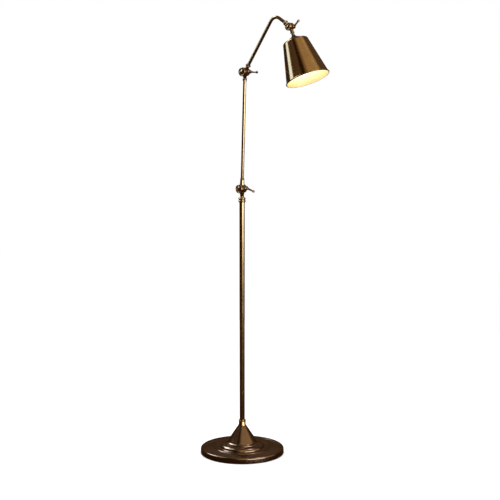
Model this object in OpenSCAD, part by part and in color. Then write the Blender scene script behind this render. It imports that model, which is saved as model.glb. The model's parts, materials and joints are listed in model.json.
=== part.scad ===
// Pharmacy floor lamp: round weighted base, pole, two jointed arms and a tilting cone shade.
// Millimetres, +Z up. The origin is the centre of the base's underside, on the floor.
// The arms swing in the XZ plane, and +X is the way the lamp reaches.

/* [Base] */
// Outside diameter of the base
base_d = 310; // [260:1:380]
// Height of the rounded edge of the base
edge_h = 23; // [18:0.5:30]
// Radius of the rounding along that edge
edge_round = 6; // [3:0.5:9]
// Radius of the raised ring between the edge and the dome
ring_r = 101; // [94:1:108]
// Radius of the foot of the dome
dome_r = 84; // [76:1:88]
// Radius of the dome where the cone starts
cone_foot_r = 57; // [48:1:64]
// Height of the cone's foot
cone_foot_z = 42; // [36:1:50]
// Height of the cone's top, where the pole socket stands
cone_top_z = 106; // [90:1:130]
// Sheet thickness of the cover
cover_t = 1.6; // [1:0.1:2.4]
// Thickness of the felt pad
felt_t = 2; // [1:0.5:4]
// Thickness of the cast weight
weight_t = 12; // [8:0.5:14]

// Rounding of the dome's edge
dome_round = 16; // [10:1:17]
// Rounding between the dome and the cone
foot_round = 14; // [8:1:20]

/* [Cord outlet] */
// Diameter of the hole for the supply cord
cord_hole_d = 7; // [5:0.1:7.6]
// Height of the hole above the floor
cord_z = 8.75; // [8.5:0.05:9.5]

/* [Pole] */
// Height of the middle knuckle's hinge
mid_z = 990; // [700:1:1300]
// Outside diameter of the pole
pole_d = 19.4; // [15.6:0.1:21]
// Wall of the pole
pole_t = 1.2; // [1:0.1:2]
// Wall of the pole's socket
socket_t = 3.15; // [1.5:0.05:4]
// Length of the pole's socket
socket_len = 20; // [14:1:40]
// How far the two beads of the top collar stand out from the pole
pole_bead = 3.8; // [3.5:0.1:6]

/* [Arms] */
// Hinge to hinge length of the middle arm
middle_len = 422; // [250:1:600]
// Lean of the middle arm from upright
middle_lean = 2.0; // [0:0.1:5]
// Outside diameter of both arm tubes
tube_d = 11.6; // [10.6:0.1:15.2]
// Wall of the arm tubes
tube_t = 1.2; // [0.8:0.1:1.4]
// Turn of the upper arm away from the middle arm
elbow_turn = 32.7; // [20:0.1:45]
// Length of the upper arm from its hinge to the corner of its bend
rise_len = 243; // [180:1:320]
// Turn of the bend in the upper arm
bend_turn = 85.8; // [70:0.1:100]
// Radius of that bend, to the tube's centre line
bend_r = 30; // [25:1:40]
// Length from the corner of the bend to the head's hinge
drop_len = 85.5; // [75:0.5:120]
// Turn of the head away from the end of the arm
head_turn = 35.5; // [20:0.1:50]

/* [Knuckles] */
// Radius of the drum of the two arm knuckles
arm_drum_r = 15.3; // [14.5:0.1:17]
// Distance from the arm knuckles' middle to the front ring
arm_front = 16.5; // [15:0.5:20]
// Distance from the arm knuckles' middle to the lever end
arm_back = 19.5; // [17:0.5:24]
// Radius of the drum of the head knuckle
head_drum_r = 13.2; // [12.6:0.1:14.5]
// Distance from the head knuckle's middle to the front ring
head_front = 12; // [11.5:0.5:15]
// Distance from the head knuckle's middle to the lever end
head_back = 12.5; // [12:0.5:16]
// Diameter of the clamping bolts
bolt_d = 6; // [5:0.5:7]
// Length of the arm levers, to the middle of the ball
arm_lever_len = 34; // [28:1:40]
// Length of the head lever, to the middle of the ball
head_lever_len = 28; // [24:1:31]
// Direction of each lever, up from level: middle, elbow and head
mid_lever_turn = -16; // [-60:1:60]
elbow_lever_turn = -2; // [-60:1:60]
head_lever_turn = 44; // [0:1:60]

/* [Head] */
// Distance from the head's hinge to the top of the shade
shade_top = 48; // [47:0.5:60]
// Height of the shade along its axis
shade_len = 149; // [140:1:190]
// Radius of the shade at its shoulder
shoulder_r = 45.5; // [42:0.5:55]
// Rounding of the shoulder
shoulder_round = 8; // [3:0.5:10]
// Fall of the shade's top from the cap to the shoulder
crown_fall = 3; // [1:0.5:5]
// Radius of the shade at the rim, inside the bead
rim_r = 76; // [66:1:95]
// Wall of the shade
shade_t = 1.1; // [0.8:0.1:1.6]
// Radius of the wire rolled into the rim
rim_bead_r = 2.2; // [1.8:0.1:3]
// Diameter of the cap on top of the shade
cap_d = 44; // [34:1:46]
// Diameter of the lamp's globe
globe_d = 60; // [45:1:62]

/* [Fits] */
// Radial clearance of turning and sliding fits
run_gap = 0.05; // [0.02:0.01:0.08]
// Gap between neighbouring pieces on different bodies
body_gap = 0.4; // [0.3:0.05:0.6]
// Gap that keeps touching pieces of one body apart
seat_gap = 0.1; // [0.05:0.05:0.2]

/* [Hidden] */
$fn = 64;
eps = 0.01;

// Colours
brass = [0.46, 0.34, 0.20];
dark_brass = [0.30, 0.21, 0.14];
steel = [0.62, 0.62, 0.60];
iron = [0.20, 0.20, 0.21];
black = [0.08, 0.07, 0.07];

// Base
base_r = base_d / 2;
nipple_r = 5;
nipple_bore_r = 3.3;
weight_r = base_r - cover_t - 3;
weight_top = felt_t + weight_t;
boss_r = 22;
boss_top = weight_top + 17;
boss_floor = weight_top + 3;
cavity_r = 13;
slot_w = 10;
washer_t = 1.5;
nut_t = 6;
socket_web = 8;
socket_top = cone_top_z + socket_len;
grommet_hole_r = cord_hole_d / 2 + 1.1;
grommet_flange_r = cord_hole_d / 2 + 2.3;
grommet_lip = 2;

// Pole, its socket and the collar below the middle knuckle
pole_r = pole_d / 2;
socket_r = pole_r + run_gap + socket_t;
cone_top_r = socket_r + 1.6;
pole_bottom = cone_top_z + socket_web + seat_gap;
collar_r = pole_r + pole_bead;
collar_top = -arm_drum_r - 16.7;
collar_len = 18;
collar_web = 8;
pole_top = mid_z + collar_top - collar_web - seat_gap;

// Tubes and the wire that runs through them
tube_r = tube_d / 2;
tube_in_r = tube_r - tube_t;
lead_r = 2.3;
wire_way_r = 2.7;
spigot_r = tube_in_r - seat_gap;
sleeve_r = tube_r + 1.7;
grub_r = 1.5;
bend_tangent = bend_r * tan(bend_turn / 2);
// The tube is this much fuller round the bend, so the straight lengths end inside it
bend_swell = 0.05;
bend_lap = 1;

// Knuckles
bolt_r = bolt_d / 2;
bezel_r = 3;
disc_t = 1;
disc_w = 3.4;
bolt_head_gap = 0.8;
recess_depth = 2.2;
bolt_head_len = 2.4;
bolt_dome = 2.6;
washer_r = bolt_r + 3.4;
hub_r = bolt_r + 4;
hub_len = 7;
hub_cap = 2.4;
lever_root_r = 3.9;
lever_tip_r = 3.2;
ball_r = 4.8;
mid_neck_r = 6.9;
arm_stem_end = arm_drum_r + 10.7;
head_stem_end = head_drum_r + 10.8;
middle_socket_floor = arm_drum_r + 4.7;
middle_socket_end = arm_drum_r + 22.7;

// Head, measured along its axis from the hinge
neck_end = head_drum_r + 20.3;
neck_r = 6;
neck_nipple_r = 4;
neck_nipple_bore_r = 2.7;
shade_hole_r = 6;
nut_floor = shade_top + shade_t + seat_gap + washer_t;
holder_floor = nut_floor + 5;
holder_cap_len = 12;
holder_r = 19;
holder_len = 34;
holder_mouth = holder_floor + holder_cap_len + holder_len;
bulb_thread_r = 13.1;
shell_t = 0.6;
bulb_floor = holder_mouth - 25;
globe_r = globe_d / 2;
neck_glass_r = 13.6;
globe_z = holder_mouth + globe_r + 18;
glass_t = 1;
bulb_cap_t = 0.6;

// Points on an arc from angle a to angle b, around c, in n steps
function arc(c, r, a, b, n = 6) = [for (i = [0:n]) let (t = a + (b - a) * i / n)
    [c[0] + r * cos(t), c[1] + r * sin(t)]];

// Frames: each puts its children's origin on a hinge, with +Z along what leaves it
module at_mid() translate([0, 0, mid_z]) children();
module in_middle_arm() at_mid() rotate([0, middle_lean, 0]) children();
module at_elbow() in_middle_arm() translate([0, 0, middle_len]) children();
module in_upper_arm() at_elbow() rotate([0, elbow_turn, 0]) children();
module at_bend() in_upper_arm() translate([0, 0, rise_len]) rotate([0, bend_turn, 0]) children();
module at_head() at_bend() translate([0, 0, drop_len]) children();
module in_head() at_head() rotate([0, head_turn, 0]) children();

// Cylinder or cone along Y from y0 to y1
module along_y(y0, y1, r1, r2 = -1) {
    translate([0, y0, 0]) rotate([-90, 0, 0])
        cylinder(h = y1 - y0, r1 = r1, r2 = r2 < 0 ? r1 : r2);
}

// Cylinder or cone along Z from z0 to z1
module along_z(z0, z1, r1, r2 = -1) {
    translate([0, 0, z0]) cylinder(h = z1 - z0, r1 = r1, r2 = r2 < 0 ? r1 : r2);
}

// Tube along Z
module pipe(z0, z1, r, bore) {
    difference() {
        along_z(z0, z1, r);
        along_z(z0 - 1, z1 + 1, bore);
    }
}

// Bead around Z: a half-round ring of radius r and width w at height z
module bead(z, r, w) {
    translate([0, 0, z]) rotate_extrude() translate([r - w / 2, 0]) circle(r = w / 2);
    along_z(z - w / 2, z + w / 2, r - w / 2);
}

// Outer outline of the cover, from its lower edge to the pole socket: rounded edge,
// shallow channel, raised ring, dome, and a straight cone with a rounded foot
function cover_outline() = let (
        run = [cone_foot_r - cone_top_r, cone_foot_z - cone_top_z],
        u = run / norm(run),
        foot = [cone_foot_r, cone_foot_z] - 5 * u,
        foot_c = foot + foot_round * [-u[1], u[0]])
    concat(
        [[base_r, felt_t]],
        arc([base_r - edge_round, edge_h - edge_round], edge_round, 0, 115, 7),
        arc([base_r - 15, edge_h - 1], 3, -55, -105, 3),
        arc([ring_r + 1, edge_h - 1.5], 4.5, 50, 125, 5),
        [[(ring_r + dome_r) / 2, edge_h]],
        arc([dome_r - dome_round, edge_h + 0.5], dome_round, 6, 78, 8),
        arc(foot_c, foot_round, 262, 180 + atan(u[0] / -u[1]), 6),
        [[cone_top_r, cone_top_z]]);

module base_cover() {
    outer = cover_outline();
    inner = [for (p = outer) [p[0] - cover_t, max(p[1] - cover_t, felt_t)]];
    color(dark_brass) difference() {
        rotate_extrude($fn = 96) polygon(concat(outer, [[nipple_r + 1, cone_top_z]],
            [[nipple_r + 1, cone_top_z - cover_t]],
            [for (i = [len(inner) - 1:-1:0]) inner[i]]));
        translate([-base_r - 1, 0, cord_z]) rotate([0, 90, 0])
            cylinder(h = cover_t + 4, r = grommet_hole_r);
    }
}

module felt_pad() {
    color([0.10, 0.12, 0.10]) along_z(0, felt_t, base_r - 3);
}

module base_weight() {
    color(iron) difference() {
        union() {
            along_z(felt_t, weight_top, weight_r);
            along_z(weight_top - 1, boss_top, boss_r + 4, boss_r);
        }
        along_z(felt_t - 1, boss_floor, cavity_r);
        along_z(felt_t, boss_top + 1, nipple_r + run_gap);
        translate([-base_r, -slot_w / 2, 0]) cube([base_r, slot_w, weight_top + eps]);
    }
}

module cord_grommet() {
    wall_in = -base_r + cover_t + 0.2;
    wall_out = -base_r - 0.1;
    color(black) translate([0, 0, cord_z]) rotate([0, 90, 0]) difference() {
        union() {
            along_z(wall_out - grommet_lip, wall_out, grommet_flange_r - 0.8, grommet_flange_r);
            along_z(wall_out - eps, wall_in + eps, grommet_hole_r - seat_gap);
            along_z(wall_in, wall_in + 1.5, grommet_flange_r);
        }
        along_z(wall_out - 5, wall_in + 5, cord_hole_d / 2);
    }
}

module terminal_block() {
    block_x = -base_r + 22;
    color([0.85, 0.85, 0.82]) difference() {
        translate([block_x, -slot_w / 2 + 0.5, felt_t + seat_gap])
            cube([20, slot_w - 1, weight_t - 1]);
        for (x = [5, 15])
            translate([block_x + x, 0, weight_top - 5]) cylinder(h = 8, r = 1.6);
    }
}

module base_washer() {
    color(steel) pipe(boss_top, boss_top + washer_t, boss_r - 5, nipple_r + run_gap);
}

module base_nut() {
    z = boss_top + washer_t + seat_gap;
    color(steel) difference() {
        translate([0, 0, z]) cylinder(h = nut_t, r = nipple_r + 4.5, $fn = 6);
        along_z(z - 1, z + nut_t + 1, nipple_r + run_gap);
    }
}

module base_nipple() {
    color(steel) pipe(boss_floor + 1, cone_top_z + socket_web - 0.5, nipple_r, nipple_bore_r);
}

module pole_socket() {
    color(brass) difference() {
        union() {
            along_z(cone_top_z, socket_top, socket_r);
            along_z(cone_top_z, cone_top_z + 3, socket_r + 1.2, socket_r);
            bead(socket_top - 2, socket_r + 1.3, 3.6);
        }
        along_z(pole_bottom - seat_gap, socket_top + 1, pole_r + run_gap);
        along_z(cone_top_z - 1, cone_top_z + socket_web + 1, nipple_r + run_gap);
    }
}

module lower_pole() {
    color(brass) pipe(pole_bottom, pole_top, pole_r, pole_r - pole_t);
}

// Collar that joins the pole to the middle knuckle: two beads over a sleeve
module pole_collar() {
    low = collar_top - collar_len;
    color(brass) at_mid() difference() {
        union() {
            along_z(low, collar_top, collar_r - 3);
            along_z(low - 2, low, pole_r + 1, collar_r - 3);
            bead(low + 4.5, collar_r, 8);
            bead(collar_top - 4.5, collar_r, 8);
        }
        along_z(low - 5, collar_top - collar_web, pole_r + run_gap);
        along_z(low, collar_top + 1, nipple_r + run_gap);
    }
}

// Wire inside the base and the pole, from the terminal block to the knuckle
module stand_lead() {
    turn_r = 9;
    start_x = -base_r + 42 + seat_gap;
    color(black) {
        translate([start_x, 0, cord_z]) rotate([0, 90, 0])
            cylinder(h = -turn_r - start_x, r = lead_r);
        translate([-turn_r, 0, cord_z + turn_r]) rotate([-90, 0, 0])
            rotate_extrude(angle = 90) translate([turn_r, 0]) circle(r = lead_r);
        along_z(cord_z + turn_r, mid_z - arm_drum_r - 4, lead_r);
    }
}

// Half of a knuckle on the bolt's side: -Y. Its stem comes in as children.
module bolt_half(r, front) {
    face = -disc_t / 2;
    ring = r + 0.7 - bezel_r;
    difference() {
        union() {
            along_y(-front, face, r);
            translate([0, -front, 0]) rotate([-90, 0, 0]) rotate_extrude()
                translate([ring, 0]) circle(r = bezel_r);
            difference() {
                children();
                along_y(face, 40, r + body_gap);
            }
        }
        along_y(-front - 5, -front + recess_depth, ring - bezel_r + 0.2);
        along_y(-front - 5, face + 1, bolt_r + run_gap);
        wire_chamber(face - 6, face + 1, r);
    }
}

// Half of a knuckle on the lever's side: +Y. Its stem comes in as children.
module lever_half(r, back) {
    face = disc_t / 2 + seat_gap;
    shoulder = back * 0.56;
    difference() {
        union() {
            along_y(face, shoulder, r);
            along_y(shoulder, back, r, hub_r + 0.6);
            difference() {
                children();
                along_y(-40, face, r + body_gap);
            }
        }
        along_y(face - 1, back + 1, bolt_r + run_gap);
        wire_chamber(face - 1, face + 6, r);
    }
}

// Ring-shaped hollow around the bolt, where the wire passes from one half to the other
module wire_chamber(y0, y1, r) {
    difference() {
        along_y(y0, y1, r - disc_w - 0.4);
        along_y(y0 - 1, y1 + 1, bolt_r + 2.4);
    }
}

// Bolt with a polished domed head that sits inside the front ring
module knuckle_bolt(r, front, back) {
    head_r = r + 0.7 - 2 * bezel_r - bolt_head_gap;
    seat = -front + recess_depth - seat_gap;
    top = seat - bolt_head_len - bolt_dome;
    dome_ball = (head_r * head_r + bolt_dome * bolt_dome) / (2 * bolt_dome);
    intersection() {
        along_y(top - 1, seat, head_r);
        translate([0, top + dome_ball, 0]) sphere(r = dome_ball);
    }
    along_y(seat - 1, back + hub_len, bolt_r);
}

module friction_disc(r) {
    difference() {
        along_y(-disc_t / 2 + 0.02, disc_t / 2, r - 0.4);
        along_y(-disc_t, disc_t, r - disc_w);
    }
}

module knuckle_washer(back) {
    difference() {
        along_y(back + seat_gap, back + seat_gap + washer_t, washer_r);
        along_y(back - 1, back + 4, bolt_r + run_gap);
    }
}

// Clamping lever: hub, tapered arm and ball. a is its direction, up from level.
module clamp_lever(back, length, a) {
    y0 = back + 2 * seat_gap + washer_t + 0.1;
    mid = y0 + hub_len / 2 + 0.5;
    difference() {
        union() {
            along_y(y0, y0 + hub_len, hub_r - 0.6, hub_r);
            along_y(y0 + hub_len, y0 + hub_len + hub_cap, hub_r, hub_r - 3);
            translate([0, mid, 0]) rotate([0, 90 - a, 0]) {
                along_z(hub_r - 3.4, length, lever_root_r, lever_tip_r);
                translate([0, 0, length]) sphere(r = ball_r);
                along_z(length + ball_r - 0.8, length + ball_r + 1.8, 2.2, 1.3);
            }
        }
        along_y(y0 - 1, back + hub_len + 0.6, bolt_r + run_gap);
    }
}

module mid_bolt() { color(steel) at_mid() knuckle_bolt(arm_drum_r, arm_front, arm_back); }
module mid_friction_disc() { color(black) at_mid() friction_disc(arm_drum_r); }
module mid_washer() { color(steel) at_mid() knuckle_washer(arm_back); }
module elbow_bolt() { color(steel) at_elbow() knuckle_bolt(arm_drum_r, arm_front, arm_back); }
module elbow_friction_disc() { color(black) at_elbow() friction_disc(arm_drum_r); }
module elbow_washer() { color(steel) at_elbow() knuckle_washer(arm_back); }
module head_bolt() { color(steel) at_head() knuckle_bolt(head_drum_r, head_front, head_back); }
module head_friction_disc() { color(black) at_head() friction_disc(head_drum_r); }
module head_washer() { color(steel) at_head() knuckle_washer(head_back); }

module mid_lever() {
    color(brass) at_mid() clamp_lever(arm_back, arm_lever_len, mid_lever_turn);
}

module elbow_lever() {
    color(brass) at_elbow()
        clamp_lever(arm_back, arm_lever_len, elbow_lever_turn + middle_lean);
}

module head_lever() {
    drop_turn = middle_lean + elbow_turn + bend_turn;
    color(brass) at_head()
        clamp_lever(head_back, head_lever_len, head_lever_turn + drop_turn);
}

// Middle knuckle, between the pole and the middle arm
module mid_knuckle_lower() {
    color(brass) at_mid() difference() {
        bolt_half(arm_drum_r, arm_front) {
            along_z(collar_top + 3, -arm_drum_r + 5, mid_neck_r, mid_neck_r + 2.1);
            along_z(collar_top, collar_top + 3, mid_neck_r + 1, mid_neck_r);
            along_z(collar_top - collar_web + seat_gap, collar_top + 1, nipple_r);
        }
        along_z(collar_top - collar_web - 1, -arm_drum_r - 1, wire_way_r);
    }
}

module mid_knuckle_upper() {
    color(brass) in_middle_arm() difference() {
        lever_half(arm_drum_r, arm_back) {
            along_z(arm_drum_r - 5, middle_socket_end - 6, sleeve_r + 1.2, sleeve_r);
            along_z(middle_socket_end - 6, middle_socket_end, sleeve_r, sleeve_r - 0.6);
            bead(middle_socket_end - 3, sleeve_r + 0.6, 3);
        }
        along_z(middle_socket_floor, middle_socket_end + 1, tube_r + run_gap);
        along_z(arm_drum_r + 1, middle_socket_floor + 1, wire_way_r);
        grub_hole(middle_socket_end - 9, 12);
    }
}

// Radial hole for a grub screw, on the rear side
module grub_hole(z, depth) {
    translate([0, 0, z]) rotate([0, -90, 0]) cylinder(h = depth, r = grub_r + run_gap);
}

module grub_screw(z, r_out) {
    translate([0, 0, z]) rotate([0, -90, 0]) difference() {
        translate([0, 0, tube_r + 2 * run_gap])
            cylinder(h = r_out - tube_r - 2 * run_gap, r = grub_r);
        translate([0, 0, r_out - 0.8]) cylinder(h = 2, r = 0.8, $fn = 6);
    }
}

module middle_tube() {
    color(brass) in_middle_arm()
        pipe(middle_socket_floor + seat_gap, middle_len - arm_stem_end - seat_gap, tube_r, tube_in_r);
}

module middle_lead() {
    color(black) in_middle_arm()
        along_z(arm_drum_r + 3, middle_len - arm_drum_r - 3, lead_r);
}

module middle_screws() {
    color(steel) in_middle_arm() {
        grub_screw(middle_socket_end - 9, sleeve_r + 0.1);
        grub_screw(middle_len - arm_stem_end - 4, sleeve_r);
    }
}

// Elbow knuckle, between the middle and the upper arm
module elbow_ferrule() {
    top = -arm_stem_end + 3;
    color(brass) at_elbow() difference() {
        union() {
            along_z(top - 10, top, sleeve_r);
            bead(top - 2.4, sleeve_r + 0.8, 3.4);
        }
        along_z(top - 11, top + 1, tube_r + run_gap);
        grub_hole(-arm_stem_end - 4, 12);
    }
}

module elbow_knuckle_lower() {
    color(brass) at_elbow() difference() {
        bolt_half(arm_drum_r, arm_front) {
            along_z(-arm_stem_end, -arm_drum_r + 5, tube_r);
            along_z(-arm_stem_end + 3 + seat_gap, -arm_drum_r + 3, tube_r + 0.3, sleeve_r + 0.2);
            along_z(-arm_stem_end - 12, -arm_stem_end + 1, spigot_r);
        }
        along_z(-arm_stem_end - 13, -arm_drum_r - 1, wire_way_r);
    }
}

// Lever half of the elbow knuckle, with the spigot that the upper tube slides over
module elbow_knuckle_upper() {
    color(brass) in_upper_arm() difference() {
        lever_half(arm_drum_r, arm_back) {
            along_z(arm_drum_r - 5, arm_stem_end, tube_r);
            along_z(arm_drum_r - 3, arm_drum_r + 5, sleeve_r + 0.4, tube_r);
            along_z(arm_stem_end - 1, arm_stem_end + 12, spigot_r);
        }
        along_z(arm_drum_r + 1, arm_stem_end + 13, wire_way_r);
    }
}

// Bead collar over the joint of a stem and a tube
module bead_collar(z) {
    difference() {
        union() {
            along_z(z - 4.5, z + 4.5, sleeve_r);
            bead(z, sleeve_r + 2.2, 5);
        }
        along_z(z - 6, z + 6, tube_r + run_gap);
        translate([0, 0, z]) rotate([0, -90, 0]) cylinder(h = 12, r = grub_r + run_gap);
    }
}

module elbow_collar() {
    color(brass) in_upper_arm() bead_collar(arm_stem_end + 1);
}

module head_collar() {
    color(brass) at_head() bead_collar(-head_stem_end - 1);
}

// Upper arm as a solid rod of radius r: rise, bend and drop
module arm_rod(r, from_elbow, from_head) {
    rise_end = rise_len - bend_tangent;
    drop = drop_len - bend_tangent - from_head;
    in_upper_arm() {
        along_z(from_elbow, rise_end + bend_lap, r);
        translate([bend_r, 0, rise_end]) {
            mirror([1, 0, 0]) rotate([90, 0, 0]) rotate_extrude(angle = bend_turn)
                translate([bend_r, 0]) circle(r = r + bend_swell);
            rotate([0, bend_turn, 0]) translate([-bend_r, 0, -bend_lap])
                cylinder(h = drop + bend_lap, r = r);
        }
    }
}

module upper_tube() {
    color(brass) difference() {
        arm_rod(tube_r, arm_stem_end + seat_gap, head_stem_end + seat_gap);
        arm_rod(tube_in_r, arm_stem_end - 1, head_stem_end - 1);
    }
}

module upper_lead() {
    color(black) arm_rod(lead_r, arm_drum_r + 3, head_drum_r + 3);
}

module upper_screws() {
    color(steel) {
        in_upper_arm() grub_screw(arm_stem_end + 1, sleeve_r + 1.9);
        at_head() grub_screw(-head_stem_end - 1, sleeve_r + 1.9);
    }
}

// Head knuckle, between the upper arm and the shade
module head_knuckle_arm() {
    color(brass) at_head() difference() {
        bolt_half(head_drum_r, head_front) {
            along_z(-head_stem_end, -head_drum_r + 5, tube_r);
            along_z(-head_stem_end - 10, -head_stem_end + 1, spigot_r);
        }
        along_z(-head_stem_end - 11, -head_drum_r - 1, wire_way_r);
    }
}

module head_knuckle_neck() {
    color(brass) in_head() difference() {
        lever_half(head_drum_r, head_back) {
            along_z(head_drum_r - 5, neck_end, neck_r + 0.4, neck_r - 0.4);
            bead(head_drum_r + 9.3, neck_r + 1.8, 5);
        }
        along_z(head_drum_r + 1, neck_end + 1, neck_nipple_r + run_gap);
    }
}

module neck_nipple() {
    color(steel) in_head()
        pipe(head_drum_r + 2, holder_floor + 3, neck_nipple_r, neck_nipple_bore_r);
}

// Cap on the shade, like a shallow bell
module shade_cap() {
    r = cap_d / 2;
    low = shade_top - seat_gap;
    top = neck_end + seat_gap;
    crown = neck_r + 0.5;
    fall = low - 2.5 - top;
    outline = concat([[crown, top]],
        [for (t = [0.2:0.2:1]) [crown + (r - crown) * pow(t, 1.4), top + fall * pow(t, 0.8)]],
        [[r, low]]);
    color(black) in_head() difference() {
        rotate_extrude() polygon(concat([[0, top]], outline, [[0, low]]));
        along_z(top + 7, low + 1, 6, r - 2);
        along_z(top - 1, low + 1, neck_nipple_r + seat_gap);
    }
}

// Outline of the shade's outside, along its axis
function shade_outline(t) =
    let (a = atan((rim_r - shoulder_r) / shade_len), flat_r = cap_d / 2 + 1,
        centre = [shoulder_r - shoulder_round, shade_top + crown_fall + shoulder_round],
        lean = atan(crown_fall / (centre.x - flat_r)))
    concat([[shade_hole_r, shade_top + t], [flat_r, shade_top + t]],
        arc(centre, shoulder_round - t, lean - 90, -a, 7),
        [[rim_r - t, shade_top + shade_len - rim_bead_r]]);

module shade() {
    outer = shade_outline(0);
    inner = shade_outline(shade_t);
    color(brass) in_head() {
        rotate_extrude($fn = 96) polygon(concat(outer, [for (i = [len(inner) - 1:-1:0]) inner[i]]));
        translate([0, 0, shade_top + shade_len - rim_bead_r]) rotate_extrude($fn = 96)
            translate([rim_r + 0.6, 0]) circle(r = rim_bead_r);
    }
}

module shade_washer() {
    z = shade_top + shade_t + seat_gap / 2;
    color(steel) in_head() pipe(z, z + washer_t, 15, neck_nipple_r + run_gap);
}

module lock_nut() {
    color(steel) in_head() difference() {
        translate([0, 0, nut_floor]) cylinder(h = 4.5, r = neck_nipple_r + 4, $fn = 6);
        along_z(nut_floor - 1, nut_floor + 6, neck_nipple_r + run_gap);
    }
}

// Lampholder: cap, body, insulating core, screw shell and centre contact
module holder_cap() {
    z = holder_floor;
    color(dark_brass) in_head() difference() {
        union() {
            along_z(z, z + holder_cap_len - 4, 9, holder_r);
            along_z(z + holder_cap_len - 4, z + holder_cap_len, holder_r);
        }
        along_z(z + 3, z + holder_cap_len + 1, 9, holder_r - 1.2);
        along_z(z - 1, z + 4, neck_nipple_r + run_gap);
    }
}

module holder_body() {
    z = holder_floor + holder_cap_len + seat_gap;
    color(dark_brass) in_head() {
        pipe(z, holder_mouth, holder_r, holder_r - 1.5);
        translate([0, 0, holder_mouth - 1.5]) rotate_extrude()
            translate([holder_r, 0]) circle(r = 1.5);
    }
}

module holder_core() {
    r = holder_r - 1.5 - seat_gap;
    z = holder_floor + holder_cap_len + 1;
    color([0.9, 0.88, 0.83]) in_head() difference() {
        along_z(z, holder_mouth - 2, r);
        along_z(bulb_floor - 4, holder_mouth, bulb_thread_r + shell_t + 2 * seat_gap);
    }
}

module screw_shell() {
    r = bulb_thread_r + shell_t + seat_gap;
    color(brass) in_head() pipe(bulb_floor - 3.8, holder_mouth - 2, r, r - shell_t);
}

module centre_contact() {
    color(steel) in_head() along_z(bulb_floor - 4, bulb_floor - 1.2, 4);
}

// Lamp: a metal screw cap, open towards the glass
module bulb_cap() {
    color(steel) in_head() difference() {
        union() {
            along_z(bulb_floor, holder_mouth + 1, bulb_thread_r);
            along_z(bulb_floor - 1, bulb_floor, 6, bulb_thread_r - 1);
        }
        along_z(bulb_floor + 1, holder_mouth + 2, bulb_thread_r - bulb_cap_t);
    }
}

// Outline of the globe and its neck, t inside the glass's outer face
function glass_outline(t) = concat(
    [[neck_glass_r - t, holder_mouth + 1 + seat_gap]],
    arc([0, globe_z], globe_r - t, -42, 88, 14),
    [[0, globe_z + globe_r - t]]);

module bulb_glass() {
    outer = glass_outline(0);
    inner = glass_outline(glass_t);
    color([1, 0.95, 0.8, 0.6]) in_head() rotate_extrude()
        polygon(concat(outer, [for (i = [len(inner) - 1:-1:0]) inner[i]]));
}

felt_pad();
base_weight();
base_cover();
cord_grommet();
terminal_block();
base_washer();
base_nut();
base_nipple();
pole_socket();
lower_pole();
pole_collar();
stand_lead();
mid_knuckle_lower();
mid_bolt();
mid_friction_disc();
mid_washer();
mid_knuckle_upper();
middle_tube();
middle_screws();
middle_lead();
elbow_ferrule();
elbow_knuckle_lower();
elbow_bolt();
elbow_friction_disc();
elbow_washer();
elbow_knuckle_upper();
elbow_collar();
upper_tube();
upper_screws();
upper_lead();
head_collar();
head_knuckle_arm();
head_bolt();
head_friction_disc();
head_washer();
head_knuckle_neck();
neck_nipple();
shade_cap();
shade();
shade_washer();
lock_nut();
holder_cap();
holder_body();
holder_core();
screw_shell();
centre_contact();
bulb_cap();
bulb_glass();
mid_lever();
elbow_lever();
head_lever();
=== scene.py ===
# %% [markdown]
# # A pharmacy floor lamp in antique brass
# The real lamp is turned, spun and bent from brass: a round weighted base, an upright pole, two
# arms that fold at clamped knuckles, and a cone shade on a third knuckle. Its working model is
# loaded first, as a fixed frame. Each visible part is then made again with smooth curves and real
# finishes, and rides on the body of the frame that it belongs to.

# %% Load the frame
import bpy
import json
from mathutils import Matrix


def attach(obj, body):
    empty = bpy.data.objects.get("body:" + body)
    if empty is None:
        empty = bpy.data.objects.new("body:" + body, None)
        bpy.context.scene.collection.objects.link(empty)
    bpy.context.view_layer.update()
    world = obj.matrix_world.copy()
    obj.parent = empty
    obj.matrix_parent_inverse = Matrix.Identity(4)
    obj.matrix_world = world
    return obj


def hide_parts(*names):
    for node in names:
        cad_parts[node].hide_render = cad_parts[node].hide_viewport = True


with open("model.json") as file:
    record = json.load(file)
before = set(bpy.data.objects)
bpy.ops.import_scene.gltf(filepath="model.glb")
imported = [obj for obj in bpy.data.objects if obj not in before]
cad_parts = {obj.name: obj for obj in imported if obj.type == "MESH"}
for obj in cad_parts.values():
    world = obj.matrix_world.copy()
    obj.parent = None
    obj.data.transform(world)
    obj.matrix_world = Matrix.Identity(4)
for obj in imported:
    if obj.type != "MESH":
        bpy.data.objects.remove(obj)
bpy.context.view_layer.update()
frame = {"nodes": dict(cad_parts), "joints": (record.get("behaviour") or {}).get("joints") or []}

import json
import math
import bmesh
import bpy
from mathutils import Matrix, Vector

scene = bpy.context.scene
MM = 0.001

# %% [markdown]
# ## Where things are
# Every hinge of the lamp turns about a line along Y, so each arm has its own frame: its origin on a
# hinge, and its Z axis along the arm. The hinge points come from the model's joints. The turns are
# the ones the lamp stands in, in degrees.

# %% The frames of the arms and the head
MIDDLE_LEAN = 2.0
ELBOW_TURN = 32.7
BEND_TURN = 85.8
HEAD_TURN = 35.5


def turn(degrees):
    return Matrix.Rotation(math.radians(degrees), 4, "Y")


hinge = {j["name"]: Matrix.Translation(Vector(j["pos_m"])) for j in frame["joints"]}
at_floor = Matrix()
at_mid = hinge["mid_knuckle"]
in_middle_arm = at_mid @ turn(MIDDLE_LEAN)
at_elbow = hinge["elbow_knuckle"] @ turn(MIDDLE_LEAN)
in_upper_arm = at_elbow @ turn(ELBOW_TURN)
at_head = hinge["head_knuckle"] @ turn(MIDDLE_LEAN + ELBOW_TURN + BEND_TURN)
in_head = at_head @ turn(HEAD_TURN)
print("the head points along", [round(v, 3) for v in in_head.to_3x3() @ Vector((0, 0, 1))])

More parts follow.
